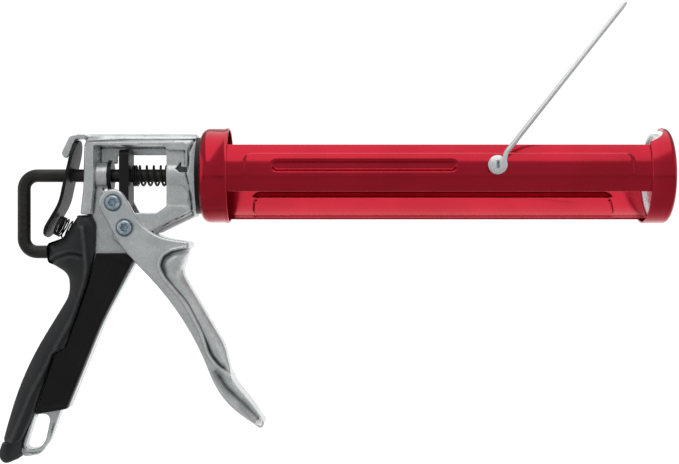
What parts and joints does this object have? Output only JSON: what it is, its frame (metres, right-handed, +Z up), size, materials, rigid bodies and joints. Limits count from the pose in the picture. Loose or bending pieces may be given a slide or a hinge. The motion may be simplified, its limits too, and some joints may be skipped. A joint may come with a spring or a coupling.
{
  "type": "caulking gun",
  "caption": "Hand caulking gun with a red swivel cradle, cast frame and trigger, two-part grip, push rod with pull loop and folding piercing wire.",
  "frame": {"origin": "on the push rod's axis at the inside floor of the cradle's rear cap", "axes": "+X forward along the barrel, +Z up, -Y is the near side with the wire"},
  "size_m": [0.3842, 0.0605, 0.2636],
  "materials": {
    "cast_aluminium": "satin die-cast, light wear",
    "red_paint": "glossy baked enamel",
    "soft_black": "fine-grained soft overmould",
    "hard_black": "satin moulded plastic",
    "black_steel": "phosphated and oiled",
    "zinc": "bright zinc plate"
  },
  "bodies": {
    "frame": {"frame_casting": "cast_aluminium", "grip_soft": "soft_black", "grip_insert": "hard_black", "grip_bumper": "soft_black", "rear_guide_bush": "hard_black", "front_guide_bush": "hard_black", "swivel_sleeve": "zinc", "swivel_washer": "hard_black", "swivel_lock_ring": "zinc", "return_spring": "black_steel", "catch_spring": "black_steel", "pivot_screw": "zinc", "pivot_nut": "zinc"},
    "trigger": {"trigger_lever": "cast_aluminium", "drive_screw": "zinc", "drive_nut": "zinc", "drive_roller": "black_steel"},
    "drive_plates": {"drive_plate_rear": "black_steel", "drive_plate_front": "black_steel"},
    "thumb_plate": {"catch_plate": "black_steel"},
    "rod": {"push_rod": "black_steel", "piston_disc": "zinc", "piston_washer": "zinc", "piston_nut": "zinc"},
    "cradle": {"cradle_rear_cap": "red_paint", "cradle_front_cap": "red_paint", "cradle_panel_side": "red_paint", "cradle_panel_back": "red_paint", "wire_rivet": "zinc"},
    "wire": {"pierce_wire": "zinc"}
  },
  "joints": [
    {"name": "trigger_squeeze", "type": "hinge", "parent": "frame", "child": "trigger", "pos_m": [-0.0438, 0, -0.03], "axis": [0, 1, 0], "range_deg": [0, 34], "stiffness_Nm_per_rad": 1.2, "springref_deg": -14.32},
    {"name": "drive_plate_slide", "type": "slide", "parent": "frame", "child": "drive_plates", "axis": [1, 0, 0], "range_m": [0, 0.0092], "deforming": ["return_spring"]},
    {"name": "thumb_release", "type": "hinge", "parent": "frame", "child": "thumb_plate", "pos_m": [-0.0715, 0, 0.019], "axis": [0, -1, 0], "range_deg": [0, 4.5], "stiffness_Nm_per_rad": 0.6, "springref_deg": -5.73, "deforming": ["catch_spring"]},
    {"name": "rod_slide", "type": "slide", "parent": "frame", "child": "rod", "axis": [-1, 0, 0], "range_m": [0, 0.25]},
    {"name": "cradle_swivel", "type": "hinge", "parent": "frame", "child": "cradle", "pos_m": [0, 0, 0], "axis": [1, 0, 0], "continuous": true},
    {"name": "wire_swing", "type": "hinge", "parent": "cradle", "child": "wire", "pos_m": [0.166, -0.02874, 0.00455], "axis": [0, -0.9877, 0.1564], "range_deg": [-51.7, 128.3]}
  ],
  "couplings": [
    {"joint": "drive_plate_slide", "follows": "trigger_squeeze", "m_per_rad": 0.01525}
  ]
}
